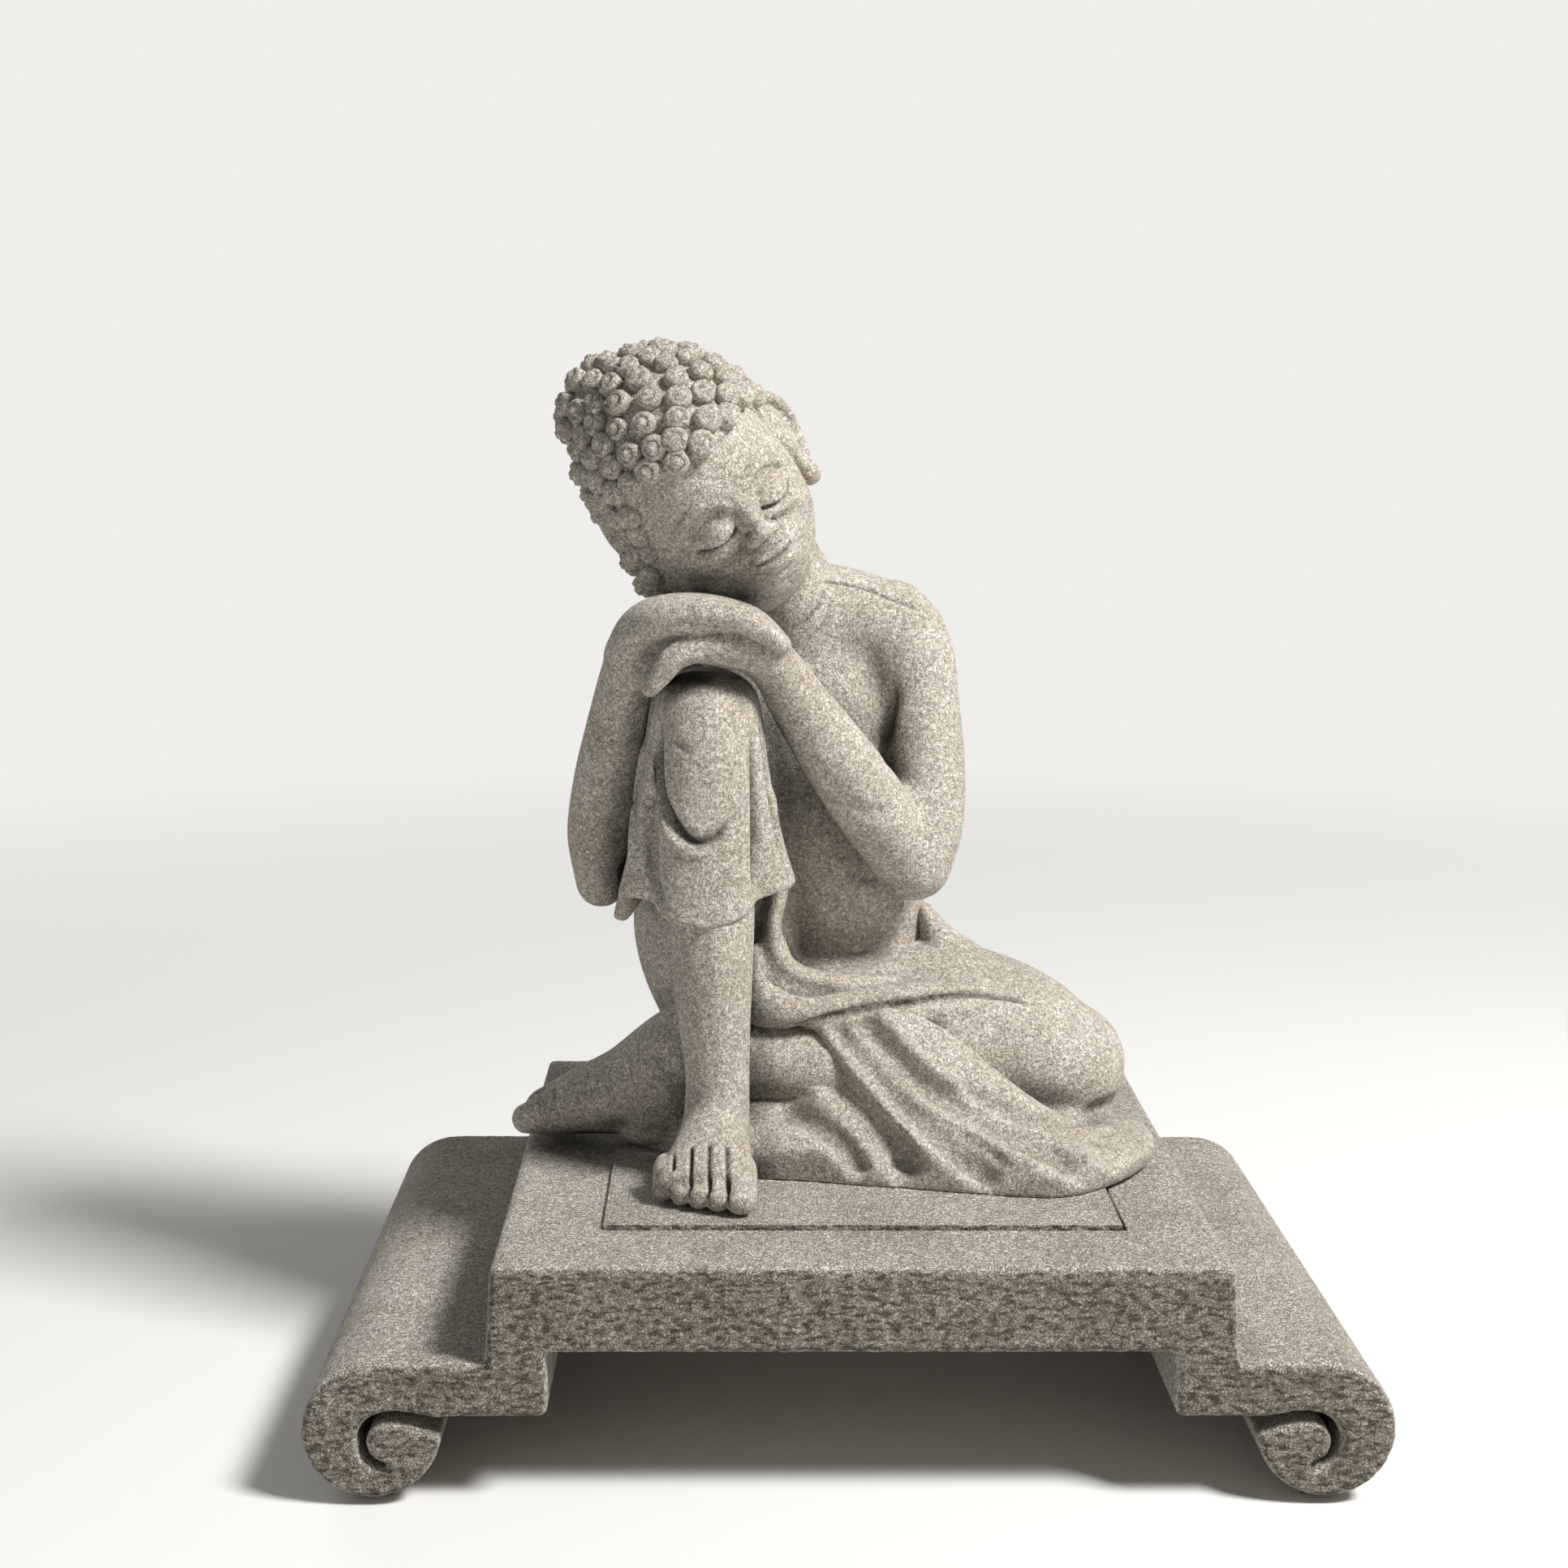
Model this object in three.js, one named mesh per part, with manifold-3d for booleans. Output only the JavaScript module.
// A seated stone buddha at rest on a scroll stand, in millimetres, +Z up.
// X runs to the viewer's right and Y away from the viewer. The origin is on the ground, under the
// middle of the stand.
import * as THREE from 'three';
import { ConvexGeometry } from 'three/addons/geometries/ConvexGeometry.js';
import { mergeVertices } from 'three/addons/utils/BufferGeometryUtils.js';
import Module from 'manifold-3d';

const wasm = await Module();
wasm.setup();

// Stand
const STAND_WIDTH = 180;
const STAND_DEPTH = 126;
const SLAB_TOP = 41.2;
const SLAB_WIDTH = 122;
const SLAB_THICKNESS = 16;
const SLAB_SIDE_LEAN = 0.9;
const SLAB_OFF_CENTRE = 1.8;
const SCROLL_RADIUS = 12.2;
const SCROLL_EYE_INSET = 2.4;
const LEG_GAP = 100.4;
const LEG_BOTTOM = 14.3;
const CORNER_RADIUS = 1.3;
const EDGE_CHAMFER = 0.8;

// Felt pads under the scrolls
const PAD_PROUD = 0.4;
const PAD_THICKNESS = 1.2;
const PAD_WIDTH = 6;
const PAD_LENGTH = 18;
const PAD_FROM_END = 14;

// Inset panel that carries the figure, and its dowels
const PANEL_WIDTH = 87.4;
const PANEL_DEPTH = 86;
const PANEL_THICKNESS = 6;
const PANEL_CENTRE_X = 2.6;
const PANEL_CENTRE_Y = -1;
const PANEL_RIGHT_GAP = 0.8;
const DOWEL_RADIUS = 2;
const DOWEL_LENGTH = 14;
const DOWEL_IN_PANEL = 4;

// Clearance between neighbouring pieces, and the figure's bed on the panel
const CLEAR = 0.3;

// Figure, measured up from the slab's top
const KNEE_HEIGHT = 90.6;
const SHIN_WIDTH = 14.4;
const WAIST_HEIGHT = 41;
const CHEST_WIDTH = 45;
const SHOULDER_HEIGHT = 92;
const ELBOW_HEIGHT = 54;
const THIGH_THICKNESS = 31;
const HAND_THICKNESS = 6.4;
const HAND_WIDTH = 14;
const FOOT_WIDTH = 17.2;
const HEM_HEIGHT = 5.5;
const FOLD_DEPTH = 2;
const SKIRT_REACH = 12;
const ROLL_RADIUS = 2.5;

// Head
const HEAD_WIDTH = 30.5;
const HEAD_LENGTH = 48.5;
const HEAD_DEPTH = 38;
const HEAD_TILT = 35.5;
const HEAD_TURN = 14;
const HEAD_NOD = 8;
const EAR_LENGTH = 19;
const HAIR_THICKNESS = 2;
const HAIRLINE_HEIGHT = 5;
const NAPE_DROP = 16;
const CURL_HEIGHT = 1.8;
const CURL_SPACING = 4.4;
const CROWN_KNOT_RADIUS = 9.5;

const RIGHT = new THREE.Vector3(1, 0, 0);
const BACK = new THREE.Vector3(0, 1, 0);
const UP = new THREE.Vector3(0, 0, 1);
const FAR = 200;

// Solids

// A closed three.js geometry as a solid that can be joined and cut.
function asSolid(geometry) {
  const bare = geometry.clone();
  for (const name of Object.keys(bare.attributes)) {
    if (name !== 'position') bare.deleteAttribute(name);
  }
  const merged = mergeVertices(bare, 1e-4);
  return new wasm.Manifold(new wasm.Mesh({
    numProp: 3,
    vertProperties: new Float32Array(merged.attributes.position.array),
    triVerts: new Uint32Array(merged.index.array),
  }));
}

function joined(solids) {
  return solids.reduce((whole, next) => whole.add(next));
}

function cutBy(solid, tools) {
  return tools.reduce((whole, tool) => whole.subtract(tool), solid);
}

function block(x0, x1, y0, y1, z0, z1) {
  const box = new THREE.BoxGeometry(x1 - x0, y1 - y0, z1 - z0);
  box.translate((x0 + x1) / 2, (y0 + y1) / 2, (z0 + z1) / 2);
  return asSolid(box);
}

function upright(x, y, radius, z0, z1, sides = 20) {
  const rod = new THREE.CylinderGeometry(radius, radius, z1 - z0, sides);
  rod.rotateX(Math.PI / 2);
  rod.translate(x, y, (z0 + z1) / 2);
  return asSolid(rod);
}

// An oval ball with its half sizes along X, Y and Z.
function ball([x, y, z], [rx, ry, rz], { grow = 0, around = 16, rows = 10 } = {}) {
  const sphere = new THREE.SphereGeometry(1, around, rows);
  sphere.rotateX(Math.PI / 2);
  sphere.scale(rx + grow, ry + grow, rz + grow);
  sphere.translate(x, y, z);
  return asSolid(sphere);
}

// A form carried along a smooth path through its sections, with rounded ends. Each section is
// [x, y, z, half width, half thickness]. The width lies along `across`, square to the path.
function limb(sections, { across = RIGHT, sides = 12, steps = 2, grow = 0 } = {}) {
  const curve = (pick) => new THREE.CatmullRomCurve3(sections.map(pick));
  const path = curve(([x, y, z]) => new THREE.Vector3(x, y, z));
  const girth = curve(([, , , wide, thick]) => new THREE.Vector3(wide + grow, thick + grow, 0));
  const count = (sections.length - 1) * steps;
  const rings = [];
  for (let i = 0; i <= count; i += 1) {
    const t = i / count;
    rings.push({ at: path.getPoint(t), along: path.getTangent(t), size: girth.getPoint(t) });
  }
  const capRing = (ring, sign) => {
    const reach = Math.min(ring.size.x, ring.size.y);
    return {
      at: ring.at.clone().addScaledVector(ring.along, sign * reach * Math.SQRT1_2),
      along: ring.along,
      size: ring.size.clone().multiplyScalar(Math.SQRT1_2),
      pole: ring.at.clone().addScaledVector(ring.along, sign * reach),
    };
  };
  const first = capRing(rings[0], -1);
  const last = capRing(rings[count], 1);
  const outlines = [first, ...rings, last].map(({ at, along, size }) => {
    const a = across.clone().addScaledVector(along, -across.dot(along)).normalize();
    const b = along.clone().cross(a);
    const outline = [];
    for (let j = 0; j < sides; j += 1) {
      const angle = (2 * Math.PI * j) / sides;
      const sideways = a.clone().multiplyScalar(size.x * Math.cos(angle));
      outline.push(at.clone().add(sideways).addScaledVector(b, size.y * Math.sin(angle)));
    }
    return outline;
  });
  return skin(outlines, first.pole, last.pole);
}

function middleOf(points) {
  return points.reduce((sum, point) => sum.add(point), new THREE.Vector3()).divideScalar(points.length);
}

// A closed skin over a row of closed outlines with equal counts of points, and a pole at each end.
function skin(outlines, startPole, endPole) {
  const sides = outlines[0].length;
  const start = outlines.length * sides;
  const index = [];
  for (let j = 0; j < sides; j += 1) {
    const k = (j + 1) % sides;
    index.push(start, k, j);
    for (let i = 0; i < outlines.length - 1; i += 1) {
      const low = i * sides;
      const high = low + sides;
      index.push(low + j, low + k, high + k, low + j, high + k, high + j);
    }
    const end = start - sides;
    index.push(end + j, end + k, start + 1);
  }
  const geometry = new THREE.BufferGeometry();
  const positions = [...outlines.flat(), startPole, endPole].flatMap((point) => [...point]);
  geometry.setAttribute('position', new THREE.Float32BufferAttribute(positions, 3));
  geometry.setIndex(index);
  return asSolid(geometry);
}

// Stand

const scrollX = STAND_WIDTH / 2 - SCROLL_RADIUS;
const scrollZ = PAD_PROUD + SCROLL_RADIUS;
const shelfTop = scrollZ + SCROLL_RADIUS;
const slabUnder = SLAB_TOP - SLAB_THICKNESS;
const recessFloor = SLAB_TOP - PANEL_THICKNESS;

function arc(x, y, radius, from, to, count) {
  const points = [];
  for (let i = 0; i <= count; i += 1) {
    const angle = from + ((to - from) * i) / count;
    points.push(new THREE.Vector2(x + radius * Math.cos(angle), y + radius * Math.sin(angle)));
  }
  return points;
}

// The stand's front outline, the same along its whole depth.
function standOutline() {
  const legX = LEG_GAP / 2;
  const slabX = SLAB_WIDTH / 2;
  const meets = Math.asin((LEG_BOTTOM - scrollZ) / SCROLL_RADIUS);
  const r = CORNER_RADIUS;
  const c = SLAB_OFF_CENTRE;
  const quarter = Math.PI / 2;
  return [
    new THREE.Vector2(c - legX, slabUnder),
    new THREE.Vector2(c + legX, slabUnder),
    ...arc(c + legX + r, LEG_BOTTOM + r, r, 2 * quarter, 3 * quarter, 3),
    ...arc(scrollX, scrollZ, SCROLL_RADIUS, Math.PI - meets, 5 * quarter, 26),
    new THREE.Vector2(c + slabX + SLAB_SIDE_LEAN, shelfTop),
    ...arc(c + slabX - r, SLAB_TOP - r, r, 0, quarter, 3),
    ...arc(c - slabX + r, SLAB_TOP - r, r, quarter, 2 * quarter, 3),
    new THREE.Vector2(c - slabX - SLAB_SIDE_LEAN, shelfTop),
    ...arc(-scrollX, scrollZ, SCROLL_RADIUS, quarter, 4 * quarter + meets, 26),
    ...arc(c - legX - r, LEG_BOTTOM + r, r, 3 * quarter, 4 * quarter, 3),
  ];
}

// A front outline carried through a depth that is centred on Y = 0.
function throughDepth(points, depth, chamfer) {
  const geometry = new THREE.ExtrudeGeometry(new THREE.Shape(points), {
    depth: depth - 2 * chamfer,
    bevelEnabled: chamfer > 0,
    bevelThickness: chamfer,
    bevelSize: chamfer,
    bevelOffset: -chamfer,
    bevelSegments: 1,
  });
  geometry.rotateX(Math.PI / 2);
  geometry.translate(0, depth / 2 - chamfer, 0);
  return asSolid(geometry);
}

// The spiral slot that turns a foot into a scroll. `side` is 1 for the viewer's right foot.
function scrollSlot(side) {
  const eyeX = side * (scrollX - SCROLL_EYE_INSET);
  const eyeZ = scrollZ - 0.16 * SCROLL_RADIUS;
  const mouth = THREE.MathUtils.degToRad(10);
  const sweep = THREE.MathUtils.degToRad(262);
  const outer = [];
  const inner = [];
  const count = 14;
  for (let i = 0; i <= count; i += 1) {
    const turn = sweep * (i / count) ** 1.5;
    const reach = SCROLL_RADIUS * (0.34 + 0.58 * Math.exp(-turn / 0.4));
    const half = SCROLL_RADIUS * (0.085 - 0.035 * (turn / sweep) + 0.16 * Math.exp(-turn / 0.3));
    const angle = mouth + turn;
    for (const [list, radius] of [[outer, reach + half], [inner, reach - half]]) {
      list.push(new THREE.Vector2(eyeX - side * radius * Math.cos(angle), eyeZ + radius * Math.sin(angle)));
    }
  }
  const outline = [...outer, ...inner.reverse()];
  return throughDepth(side > 0 ? outline : outline.reverse(), STAND_DEPTH + 2, 0);
}

function felt(x, y, grow) {
  const w = PAD_WIDTH / 2 + grow;
  const l = PAD_LENGTH / 2 + grow;
  return block(x - w, x + w, y - l, y + l, grow > 0 ? -1 : 0, PAD_THICKNESS + grow);
}

const padPlaces = [];
for (const [endName, endSign] of [['front', -1], ['back', 1]]) {
  for (const [sideName, sideSign] of [['left', -1], ['right', 1]]) {
    padPlaces.push({
      name: `${endName}_${sideName}_felt_pad`,
      x: sideSign * scrollX,
      y: endSign * (STAND_DEPTH / 2 - PAD_FROM_END),
    });
  }
}

const panelLeft = PANEL_CENTRE_X - PANEL_WIDTH / 2;
const panelRight = PANEL_CENTRE_X + PANEL_WIDTH / 2;
const panelFront = PANEL_CENTRE_Y - PANEL_DEPTH / 2;
const panelBack = PANEL_CENTRE_Y + PANEL_DEPTH / 2;

function scrollStand() {
  const recess = block(
    panelLeft - CLEAR, panelRight + PANEL_RIGHT_GAP, panelFront - CLEAR, panelBack + CLEAR,
    recessFloor, SLAB_TOP + 1,
  );
  return cutBy(throughDepth(standOutline(), STAND_DEPTH, EDGE_CHAMFER), [
    recess,
    scrollSlot(1),
    scrollSlot(-1),
    ...padPlaces.map(({ x, y }) => felt(x, y, CLEAR)),
  ]);
}

// Figure. Every height from here on is above the slab's top.

const footAt = { x: -22.6, y: -17 };
const lapAt = { x: 22, y: 8 };

function dowel({ x, y }, grow) {
  return upright(x, y, DOWEL_RADIUS + grow, -DOWEL_IN_PANEL - grow, DOWEL_LENGTH - DOWEL_IN_PANEL + grow);
}

function seatPanel() {
  const panel = block(panelLeft, panelRight, panelFront, panelBack, -PANEL_THICKNESS, 0);
  return cutBy(panel, [dowel(footAt, CLEAR), dowel(lapAt, CLEAR)]);
}

// Skeleton points. The raised leg and the hands stack on one upright line through the knee.
const knee = { x: -24.5, y: -12, z: KNEE_HEIGHT };
const lowerHandZ = KNEE_HEIGHT + CLEAR + HAND_THICKNESS / 2;
const upperHandZ = lowerHandZ + CLEAR + HAND_THICKNESS;
const chest = { x: -8, y: 14 };
const leftShoulder = { x: 12, y: 10, z: SHOULDER_HEIGHT };
const rightShoulder = { x: -32, y: 13, z: SHOULDER_HEIGHT - 4 };
const leftElbow = { x: 13, y: -1, z: ELBOW_HEIGHT };
const rightElbow = { x: -44, y: 5, z: ELBOW_HEIGHT - 3 };
const headAt = { x: -27.4, y: -5, z: upperHandZ + 24 };

const seatCut = (solid) => solid.intersect(block(-FAR, FAR, -FAR, FAR, CLEAR, FAR));

function raisedShin(grow = 0) {
  const half = SHIN_WIDTH / 2;
  return seatCut(limb([
    [knee.x + 1.2, -15.5, KNEE_HEIGHT - 26, half, half + 1],
    [knee.x + 1.3, -17, 50, half + 0.3, half + 1.2],
    [knee.x + 1.7, -18.5, 30, half - 0.8, half + 0.3],
    [knee.x + 2.2, -18.5, 17, half - 1.6, half - 0.2],
    [knee.x + 2, -17.5, 8, half - 1, half + 1.4],
  ], { grow }));
}

function raisedFoot(grow = 0) {
  const sole = FOOT_WIDTH / 2;
  const foot = limb([
    [knee.x + 2, -11.5, 5, sole - 3, 5],
    [knee.x + 1.8, -20, 6.5, sole - 1.4, 6.5],
    [knee.x + 1.2, -28.5, 5, sole - 0.3, 5],
    [knee.x + 0.7, -34, 3.6, sole, 3.4],
  ], { grow, steps: 1 });
  const toes = [];
  for (let i = 0; i < 5; i += 1) {
    const big = i === 4 ? 1 : 0;
    const x = knee.x + 0.4 + (i - 2) * (sole * 0.4);
    const tip = -38.2 + 0.5 * (i - 3) ** 2 - 0.3 * big;
    toes.push(limb([
      [x, -33, 3.3, 1.7 + 0.4 * big, 2.4],
      [x, tip + 1.6, 2.6, 1.6 + 0.4 * big, 2],
    ], { grow, sides: 6, steps: 1 }));
  }
  return seatCut(joined([foot, ...toes]));
}

function foldedLeg(grow = 0) {
  return seatCut(limb([
    [-57, 4.4, 4.3, 4, 3.4],
    [-50.5, 4, 6.2, 6.6, 5.8],
    [-43.5, 3.2, 8.4, 8, 8.2],
    [-37, 2.2, 10.6, 9, 10.6],
    [-30.5, 0.8, 14.5, 9.5, 13.6],
    [-21, -1.5, 16, 8.5, 10],
    [-9, -5, 15.2, 8, 7.6],
    [2, -5, 16, 7.5, 7.5],
  ], { across: BACK, grow }));
}

function kneeDrape(grow = 0) {
  const { x } = knee;
  return limb([
    [x, -13, KNEE_HEIGHT - 5.5, 8.6, 11.5],
    [x, -12.6, KNEE_HEIGHT - 11, 10, 13.6],
    [x - 0.1, -12, KNEE_HEIGHT - 18, 11, 15],
    [x - 0.2, -11, KNEE_HEIGHT - 25, 12.3, 16],
    [x, -10.2, KNEE_HEIGHT - 32, 13.8, 16.6],
    [x + 0.2, -9.6, KNEE_HEIGHT - 37, 14.8, 16.8],
    [x, -9, KNEE_HEIGHT - 44, 15.2, 16.6],
  ], { grow, sides: 16 }).subtract(kneeHem(grow));
}

// The space under the knee drape's lower edge. It dips to a round apron in front, and to a flap
// behind on the viewer's left.
function kneeHem(grow) {
  const { x } = knee;
  const apron = [
    [x + 60, 52], [x + 12, 52], [x + 9, 50], [x + 5, 47.6], [x, 46.8],
    [x - 4.8, 47.8], [x - 8.8, 50.4], [x - 12, 52.6], [x - 60, 52.6],
  ];
  const flap = [[x + 60, 52], [x - 2, 52], [x - 6, 46], [x - 10, 44], [x - 60, 45]];
  const under = (edge, y0, y1) => {
    const outline = [[x - 60, -FAR], [x + 60, -FAR], ...edge];
    const shape = new THREE.Shape(outline.map(([px, pz]) => new THREE.Vector2(px, pz - grow)));
    const geometry = new THREE.ExtrudeGeometry(shape, { depth: y1 - y0, bevelEnabled: false });
    geometry.rotateX(Math.PI / 2);
    geometry.translate(0, y1, 0);
    return asSolid(geometry);
  };
  return under(apron, -FAR, 0).add(under(flap, 0, FAR));
}

// Four fingers that carry on from a palm, side by side. The outer ones are a little shorter.
function fingers(knuckle, bend, tip, grow) {
  const spread = HAND_WIDTH * 0.236;
  const radius = HAND_WIDTH * 0.146;
  const list = [];
  for (let i = 0; i < 4; i += 1) {
    const side = (i - 1.5) * spread;
    const reach = 1 - 0.075 * Math.abs(i - 1.4);
    list.push(limb([
      [knuckle[0], knuckle[1] + side, knuckle[2], radius, radius],
      [bend[0], bend[1] + side, bend[2], radius * 0.95, radius * 0.95],
      [
        bend[0] + (tip[0] - bend[0]) * reach,
        tip[1] + side * 0.85,
        bend[2] + (tip[2] - bend[2]) * reach,
        radius * 0.78,
        radius * 0.78,
      ],
    ], { across: BACK, sides: 6, steps: 1, grow }));
  }
  return list;
}

function leftHand(grow = 0) {
  const half = HAND_WIDTH / 2;
  const thick = HAND_THICKNESS / 2;
  const z = lowerHandZ;
  const palm = limb([
    [-12.2, -15.5, z - 4.5, 5, 4.6],
    [-17, -18.5, z - 0.4, half - 1, thick + 0.2],
    [-21.5, -20, z + 0.2, half - 0.3, thick - 0.2],
  ], { across: BACK, grow });
  const knuckle = [-22, -20, z + 0.2];
  const bend = [-30, -20.5, z - 1.4];
  const tip = [-35.4, -20.5, z - 8];
  return joined([palm, ...fingers(knuckle, bend, tip, grow)]);
}

function rightHand(grow = 0) {
  const half = HAND_WIDTH / 2;
  const thick = HAND_THICKNESS / 2;
  const z = upperHandZ;
  const palm = limb([
    [-35.4, -17, z - 4.5, 5.2, 4.4],
    [-31, -20, z - 0.4, half - 1, thick + 0.2],
    [-25.5, -22, z + 0.3, half - 0.3, thick - 0.2],
  ], { across: BACK, grow });
  const knuckle = [-25, -22, z + 0.3];
  const bend = [-17.5, -22.5, z - 0.8];
  const tip = [-11.4, -22, z - 5.2];
  return joined([palm, ...fingers(knuckle, bend, tip, grow)]);
}

function leftUpperArm(grow = 0) {
  return limb([
    [leftShoulder.x, leftShoulder.y, leftShoulder.z, 8.6, 9],
    [14, 8.5, SHOULDER_HEIGHT - 11, 7.4, 8.4],
    [15.2, 5, SHOULDER_HEIGHT - 24, 7.4, 8],
    [leftElbow.x + 1, leftElbow.y + 1.5, ELBOW_HEIGHT + 2, 7, 7],
  ], { grow });
}

function leftForearm(grow = 0) {
  return limb([
    [leftElbow.x, leftElbow.y, leftElbow.z, 6.6, 6.6],
    [5, -5.5, 65, 7.2, 7],
    [-2.6, -9.5, 76, 6.6, 6.6],
    [-8.6, -13, 85.5, 5.4, 5.4],
  ], { across: BACK, grow });
}

function rightUpperArm(grow = 0) {
  return limb([
    [rightShoulder.x, rightShoulder.y, rightShoulder.z, 8, 9],
    [-37.5, 12.5, SHOULDER_HEIGHT - 18, 7, 8],
    [rightElbow.x + 0.6, rightElbow.y + 3, ELBOW_HEIGHT, 5.6, 7],
  ], { grow });
}

function rightForearm(grow = 0) {
  return limb([
    [rightElbow.x, rightElbow.y, rightElbow.z, 5.2, 6],
    [-43.8, 0.5, 60, 6, 6.4],
    [-41.9, -5, 72, 5.9, 6],
    [-39.6, -10, 83, 5.1, 5.2],
    [-37.4, -14.5, 91.5, 4.6, 4.8],
  ], { grow });
}

function torso(grow = 0) {
  const trunk = limb([
    [-3, 20, 18, 24, 15],
    [-1.2, 17.5, 34, 19.4, 13.5],
    [-0.8, 16.5, WAIST_HEIGHT, 18.2, 12.8],
    [-3, 15.5, WAIST_HEIGHT + 17, CHEST_WIDTH / 2 - 2.5, 13.6],
    [chest.x, chest.y, SHOULDER_HEIGHT - 14, CHEST_WIDTH / 2, 14],
    [chest.x - 1, chest.y - 1, SHOULDER_HEIGHT - 1, CHEST_WIDTH / 2 - 1.5, 12],
  ], { grow, sides: 16 });
  const girdle = limb([
    [leftShoulder.x - 2, leftShoulder.y, SHOULDER_HEIGHT + 1, 8, 8.2],
    [-2, 11.5, SHOULDER_HEIGHT + 3.5, 9.6, 8.4],
    [-16, 12, SHOULDER_HEIGHT + 3, 9.6, 8.4],
    [rightShoulder.x + 5, rightShoulder.y, SHOULDER_HEIGHT - 2, 7, 7],
  ], { across: BACK, grow });
  const neck = limb([
    [-10, 9.5, SHOULDER_HEIGHT + 4, 9.4, 9.6],
    [-13.5, 5, SHOULDER_HEIGHT + 12, 9, 9.2],
    [headAt.x + 9.5, headAt.y + 5, headAt.z - 13, 9, 9],
  ], { grow });
  return joined([trunk, girdle, neck]);
}

// The head is built upright about its own middle, facing the viewer, and then tilted into place.
const headPose = new THREE.Matrix4()
  .makeTranslation(headAt.x, headAt.y, headAt.z)
  .multiply(new THREE.Matrix4().makeRotationY(-THREE.MathUtils.degToRad(HEAD_TILT)))
  .multiply(new THREE.Matrix4().makeRotationZ(THREE.MathUtils.degToRad(HEAD_TURN)))
  .multiply(new THREE.Matrix4().makeRotationX(THREE.MathUtils.degToRad(HEAD_NOD)));

const skull = { y: 2, z: 2.5, rx: HEAD_WIDTH / 2, ry: HEAD_DEPTH / 2 - 0.5, rz: HEAD_LENGTH * 0.41 };
const chinZ = skull.z + skull.rz - HEAD_LENGTH;
const crownKnot = { y: 4, z: skull.z + skull.rz - CROWN_KNOT_RADIUS + 2.6 };

function posed(solid) {
  return solid.transform(headPose.elements);
}

function faceAndSkull(grow) {
  const { rx } = skull;
  const cranium = ball([0, skull.y, skull.z], [rx, skull.ry, skull.rz], { grow });
  const face = limb([
    [0, -1.5, 4, rx - 0.3, 15.4],
    [0, -2.6, -6, rx - 0.6, 15],
    [0, -3.8, chinZ + 12, rx - 1.7, 13.6],
    [0, -6, chinZ + 7.4, rx - 4.6, 10.2],
  ], { grow, sides: 14, steps: 1 });
  const nose = limb([
    [0, -16.8, 0, 1.2, 1.6],
    [0, -18.4, -8, 2.2, 2],
  ], { grow, sides: 6, steps: 1 });
  const earTop = 4;
  const ears = [1, -1].map((side) => limb([
    [side * (rx + 0.2), 3.4, earTop - 3.5, 1.5, 3.8],
    [side * (rx + 1.2), 3, earTop - 0.5 * EAR_LENGTH, 1.7, 3.1],
    [side * (rx + 2.4), 1.6, earTop - EAR_LENGTH + 2, 1.8, 2.4],
  ], { grow, sides: 8, steps: 1 }));
  return joined([cranium, face, nose, ...ears]);
}

function head(grow = 0) {
  return posed(faceAndSkull(grow));
}

// How far the hair reaches from the skull's middle in one direction.
function hairReach(d) {
  const a = 1 / Math.hypot(
    d.x / (skull.rx + HAIR_THICKNESS),
    d.y / (skull.ry + HAIR_THICKNESS),
    d.z / (skull.rz + HAIR_THICKNESS),
  );
  const knot = new THREE.Vector3(0, crownKnot.y - skull.y, crownKnot.z - skull.z);
  const along = knot.dot(d);
  const inside = CROWN_KNOT_RADIUS ** 2 - knot.lengthSq() + along ** 2;
  return inside > 0 ? Math.max(a, along + Math.sqrt(inside)) : a;
}

// The hair's lower edge in side view: over the brow, down before the ear, then round the nape.
const hairEdge = [
  new THREE.Vector2(-FAR, HAIRLINE_HEIGHT + 0.3 * (FAR - 18)),
  new THREE.Vector2(-3, HAIRLINE_HEIGHT - 0.3 * 15),
  new THREE.Vector2(1.5, -0.6 * NAPE_DROP),
  new THREE.Vector2(2.5, -NAPE_DROP),
  new THREE.Vector2(FAR, -NAPE_DROP),
];

function belowHair() {
  const outline = [...hairEdge, new THREE.Vector2(FAR, -FAR), new THREE.Vector2(-FAR, -FAR)].reverse();
  const geometry = new THREE.ExtrudeGeometry(new THREE.Shape(outline), { depth: FAR, bevelEnabled: false });
  geometry.rotateX(Math.PI / 2);
  geometry.rotateZ(Math.PI / 2);
  geometry.translate(-FAR / 2, 0, 0);
  return asSolid(geometry);
}

// Even directions all round, one for each curl's tip.
function curlDirections(reach) {
  const count = Math.round((4 * Math.PI * reach ** 2) / (CURL_SPACING ** 2 * Math.sin(Math.PI / 3)));
  const golden = Math.PI * (3 - Math.sqrt(5));
  const list = [];
  for (let i = 0; i < count; i += 1) {
    const z = 1 - (2 * i + 1) / count;
    const level = Math.sqrt(1 - z * z);
    list.push(new THREE.Vector3(level * Math.cos(i * golden), level * Math.sin(i * golden), z));
  }
  return list;
}

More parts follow.
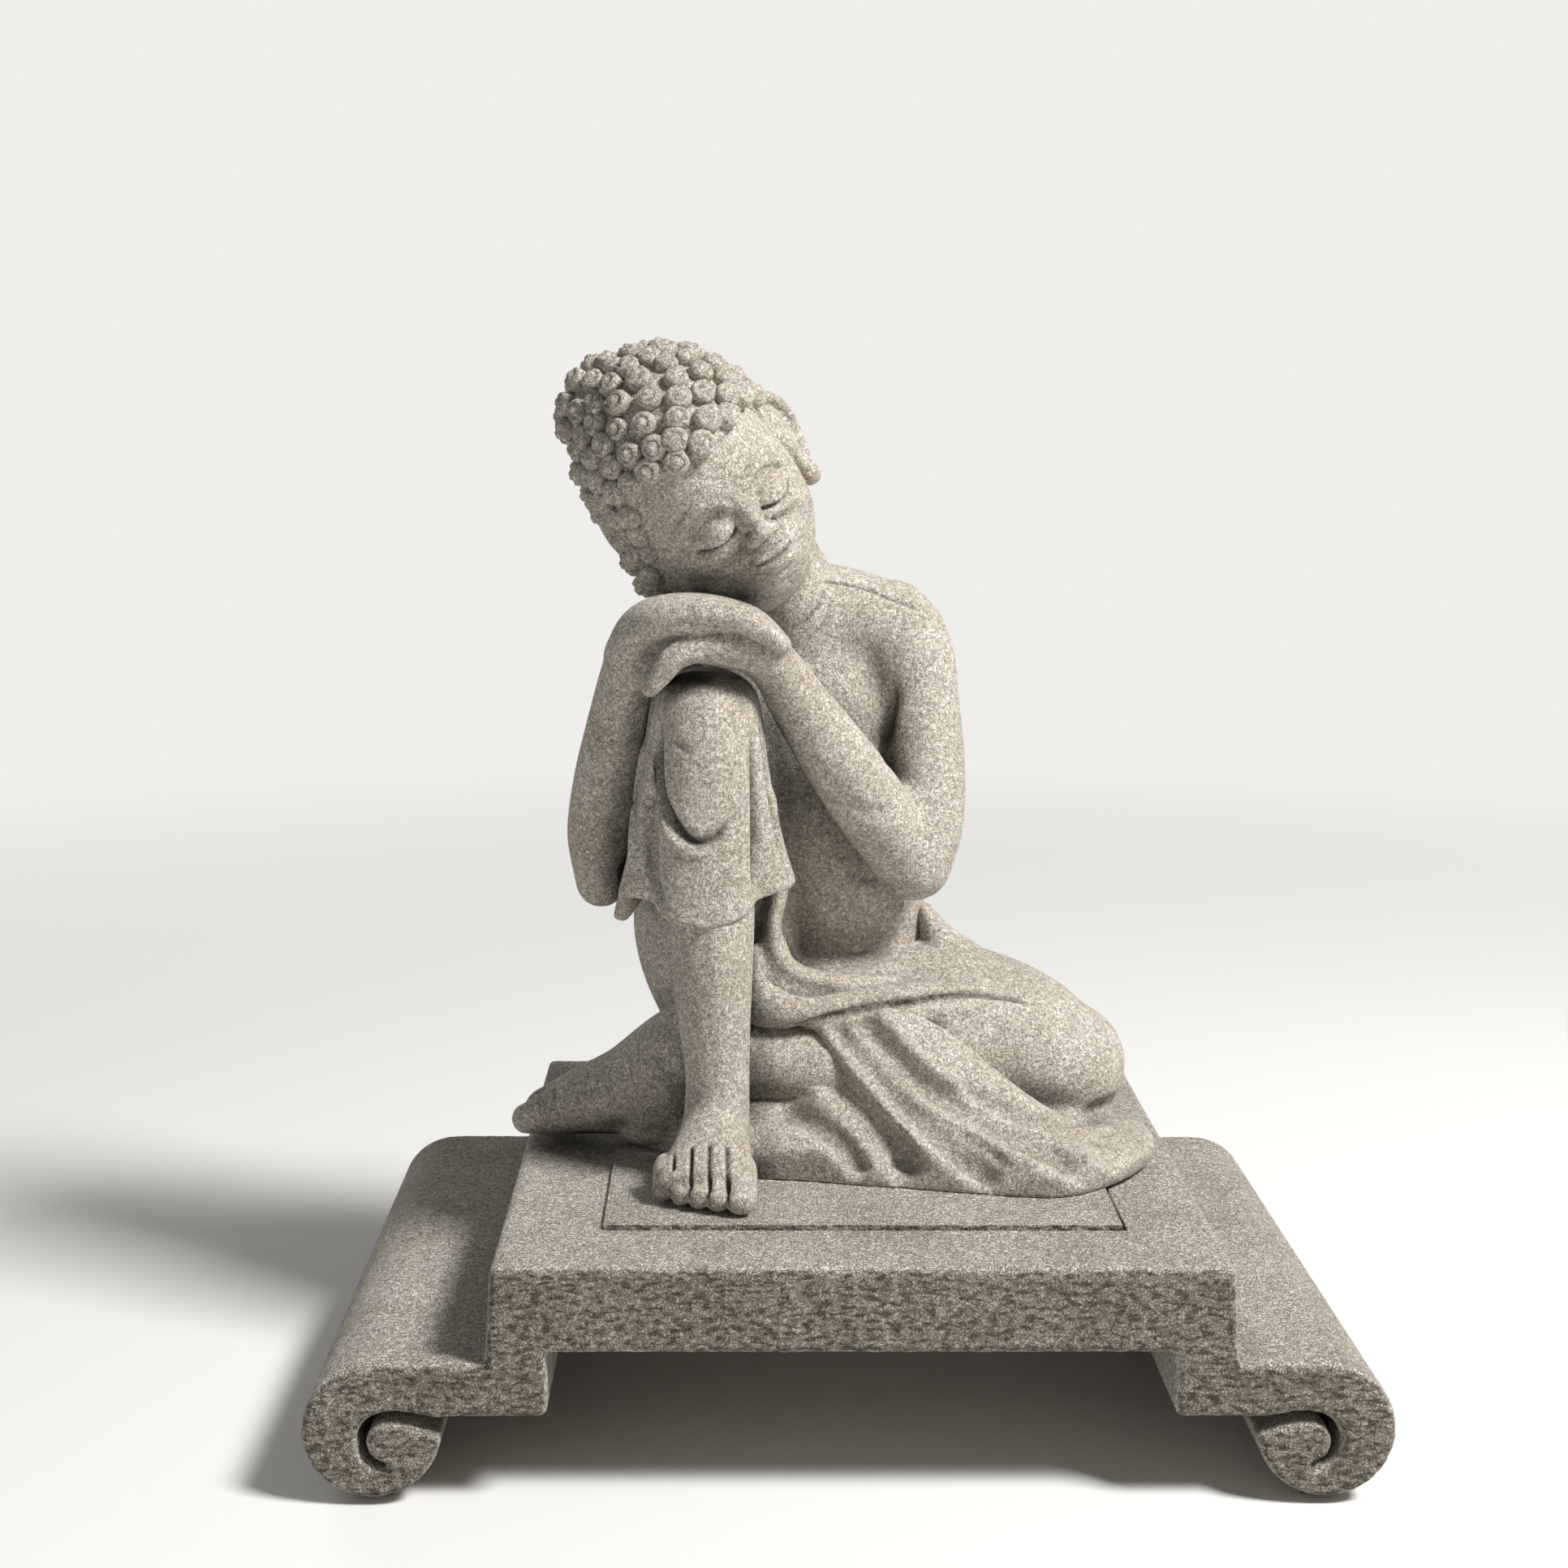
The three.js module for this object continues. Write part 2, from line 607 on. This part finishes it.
// Every curl is a low six-sided cone: its tip stands proud, and a hollow lies between each three.
function hairCap(grow = 0) {
  const middle = new THREE.Vector3(0, skull.y, skull.z);
  const tips = new ConvexGeometry(curlDirections(skull.ry + HAIR_THICKNESS)).attributes.position;
  const surface = (d, rise) => middle.clone().addScaledVector(d, hairReach(d) + rise + grow);
  const direction = (i) => new THREE.Vector3().fromBufferAttribute(tips, i).normalize();
  const positions = [];
  for (let i = 0; i < tips.count; i += 3) {
    const corners = [direction(i), direction(i + 1), direction(i + 2)];
    const hollow = middleOf(corners).normalize();
    for (let k = 0; k < 3; k += 1) {
      positions.push(
        ...surface(corners[k], CURL_HEIGHT),
        ...surface(corners[(k + 1) % 3], CURL_HEIGHT),
        ...surface(hollow, -0.3),
      );
    }
  }
  const geometry = new THREE.BufferGeometry();
  geometry.setAttribute('position', new THREE.Float32BufferAttribute(positions, 3));
  return posed(asSolid(geometry).subtract(belowHair()));
}

function waistRoll(grow = 0) {
  const r = ROLL_RADIUS;
  return limb([
    [-13.4, -1, 46, r, r],
    [-13.4, -3, 38, r, r],
    [-12.6, -6, 30.5, r + 0.3, r + 0.3],
    [-7, -9.5, 26.4, r + 0.6, r + 0.6],
    [3, -9.5, 28, r + 0.3, r + 0.3],
    [16, -6, 30, r, r],
    [29, 1, 29.6, r - 0.6, r - 0.6],
  ], { across: UP, sides: 8, grow });
}

function thighRobe(grow = 0) {
  return seatCut(limb([
    [-15, 19, 26, 14, 14],
    [-20, 8, 46, 13, 13],
    [-23.5, -3, 66, 11.5, 12],
    [-24.2, -8, 76, 9.6, 10],
  ], { grow }));
}

function lapRobe(grow = 0) {
  const half = THIGH_THICKNESS / 2;
  const hips = ball([-3, 21, 15.5], [36, 24, 22], { grow, around: 18, rows: 10 });
  const thigh = limb([
    [0, 14, 20, 20, half + 1],
    [18, 10.5, 18.5, 19, half],
    [32, 7.5, 16.5, 17, half - 1],
    [41.5, 5.5, 14.5, 13.5, half - 3.2],
  ], { across: BACK, sides: 14, grow });
  return seatCut(joined([hips, thigh]));
}

// The skirt falls from the thigh to the seat and spreads round the knee. Each station gives its top
// edge, a point halfway down and its hem, with the folds spaced evenly between the second station
// and the seventh.
function robeHem(grow = 0) {
  const stations = [
    { top: [-12.6, -8, 9.6], mid: [-12.8, -15, 8.5], hem: [-13.2, -21.5] },
    { top: [-9, -12.5, 18], mid: [-5, -18, 10], hem: [-4, -23] },
    { top: [-5, -14, 23.5], mid: [2, -20, 12.5], hem: [6, -24.5] },
    { top: [1, -14.5, 25], mid: [10, -21, 13.5], hem: [16, -28] },
    { top: [7, -14.5, 25.5], mid: [19, -21, 12.5], hem: [26, -31] },
    { top: [14, -13.5, 24], mid: [29, -20, 10], hem: [36, -31.5] },
    { top: [27, -11, 15], mid: [40, -17, 6.5], hem: [45, -27] },
    { top: [38, -8, 8], mid: [49, -11.5, 5.5], hem: [53, -17] },
    { top: [42, 0, 7], mid: [52, -2, 5.2], hem: [57, -5] },
    { top: [40, 10, 6], mid: [50, 8, 5], hem: [54.5, 9] },
    { top: [34, 18, 5.5], mid: [42, 19, 4.6], hem: [46, 21] },
  ];
  const line = (key) => new THREE.CatmullRomCurve3(
    stations.map((s) => new THREE.Vector3(s[key][0], s[key][1], s[key][2] ?? HEM_HEIGHT - 1.4)),
  );
  const [top, mid, hem] = ['top', 'mid', 'hem'].map(line);
  const steps = 3 * (stations.length - 1);
  const outlines = [];
  for (let i = 0; i <= steps; i += 1) {
    const t = i / steps;
    const place = t * (stations.length - 1);
    const folded = place > 1 && place < 6.5 ? Math.sin(Math.PI * (place - 1)) : 0;
    const out = FOLD_DEPTH * folded + grow;
    const crest = top.getPoint(t);
    const slope = mid.getPoint(t);
    const lip = hem.getPoint(t);
    const spread = lip.clone().sub(crest).setZ(0).normalize();
    const inner = crest.clone().addScaledVector(spread, -SKIRT_REACH);
    outlines.push([
      inner.clone().setZ(0),
      inner.clone().setZ(crest.z + grow),
      crest.clone().setZ(crest.z + grow + 0.3 * out),
      slope.clone().addScaledVector(spread, 0.6 * out).setZ(slope.z + 0.8 * out),
      lip.clone().addScaledVector(spread, 0.4 * out - 1.6).setZ(HEM_HEIGHT + 0.5 * out),
      lip.clone().addScaledVector(spread, 0.6 * out).setZ(HEM_HEIGHT / 2),
      lip.clone().addScaledVector(spread, 0.4 * out - 0.8).setZ(0),
    ]);
  }
  return seatCut(skin(outlines, middleOf(outlines[0]), middleOf(outlines[steps])));
}

// Pieces

// In this order each piece keeps its whole form, and every later one is cut back from it.
const carving = [
  ['raised_shin', raisedShin],
  ['raised_foot', raisedFoot],
  ['folded_leg', foldedLeg],
  ['knee_drape', kneeDrape],
  ['left_hand', leftHand],
  ['right_hand', rightHand],
  ['left_forearm', leftForearm],
  ['left_upper_arm', leftUpperArm],
  ['right_forearm', rightForearm],
  ['right_upper_arm', rightUpperArm],
  ['head', head],
  ['hair_cap', hairCap],
  ['torso', torso],
  ['waist_roll', waistRoll],
  ['thigh_robe', thighRobe],
  ['lap_robe', lapRobe],
  ['robe_hem', robeHem],
];

function carved() {
  const done = [];
  return carving.map(([name, form]) => {
    const solid = cutBy(form(), done);
    done.push(form(CLEAR));
    return [name, solid];
  });
}

function piece(name, solid, colour, roughness) {
  const { vertProperties, triVerts } = solid.getMesh();
  const geometry = new THREE.BufferGeometry();
  geometry.setAttribute('position', new THREE.Float32BufferAttribute(vertProperties, 3));
  geometry.setIndex(new THREE.Uint32BufferAttribute(triVerts, 1));
  geometry.computeVertexNormals();
  const look = { color: colour, roughness, metalness: 0, flatShading: true };
  const material = new THREE.MeshStandardMaterial(look);
  const mesh = new THREE.Mesh(geometry, material);
  mesh.name = name;
  return mesh;
}

const FIGURE_STONE = '#a89f93';
const STAND_STONE = '#9f968a';
const FELT = '#33302d';
const STEEL = '#b9bcc0';

const group = new THREE.Group();
group.add(piece('scroll_stand', scrollStand(), STAND_STONE, 0.95));
for (const { name, x, y } of padPlaces) group.add(piece(name, felt(x, y, 0), FELT, 1));

const figure = new THREE.Group();
figure.position.z = SLAB_TOP;
figure.add(piece('seat_panel', seatPanel(), STAND_STONE, 0.95));
figure.add(piece('foot_dowel', dowel(footAt, 0), STEEL, 0.35));
figure.add(piece('lap_dowel', dowel(lapAt, 0), STEEL, 0.35));
for (const [name, solid] of carved()) {
  const holes = { raised_shin: [footAt], raised_foot: [footAt], lap_robe: [lapAt] }[name] ?? [];
  figure.add(piece(name, cutBy(solid, holes.map((at) => dowel(at, CLEAR))), FIGURE_STONE, 0.92));
}
group.add(figure);

export default group;
